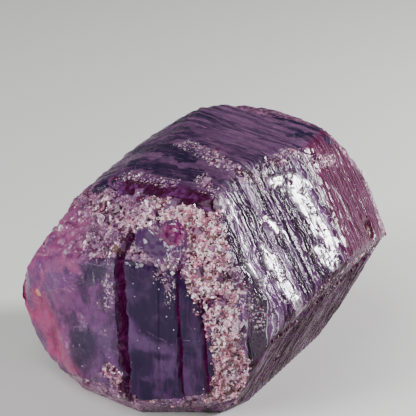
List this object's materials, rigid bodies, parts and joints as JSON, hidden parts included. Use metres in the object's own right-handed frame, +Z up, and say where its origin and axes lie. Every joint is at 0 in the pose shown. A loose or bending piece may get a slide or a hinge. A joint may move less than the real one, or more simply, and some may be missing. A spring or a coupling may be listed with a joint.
{
  "type": "sapphire crystal",
  "caption": "Short barrel-shaped violet sapphire crystal with ledged side faces, a cleft broken end and bruised, lumpy rims, lying on a flat face.",
  "frame": {"origin": "middle of the crystal's box, on the surface it lies on", "axes": "+X along the barrel's long axis, away from the broken end; +Z up from the face it lies on; -Y towards the ledged front face"},
  "size_m": [0.0304, 0.0286, 0.0222],
  "materials": {
    "violet_sapphire": "dark violet translucent corundum, glassy on its faces, pale pink and sugary on its bruised rims"
  },
  "bodies": {
    "root": {"sapphire_crystal": "violet_sapphire"}
  },
  "joints": []
}
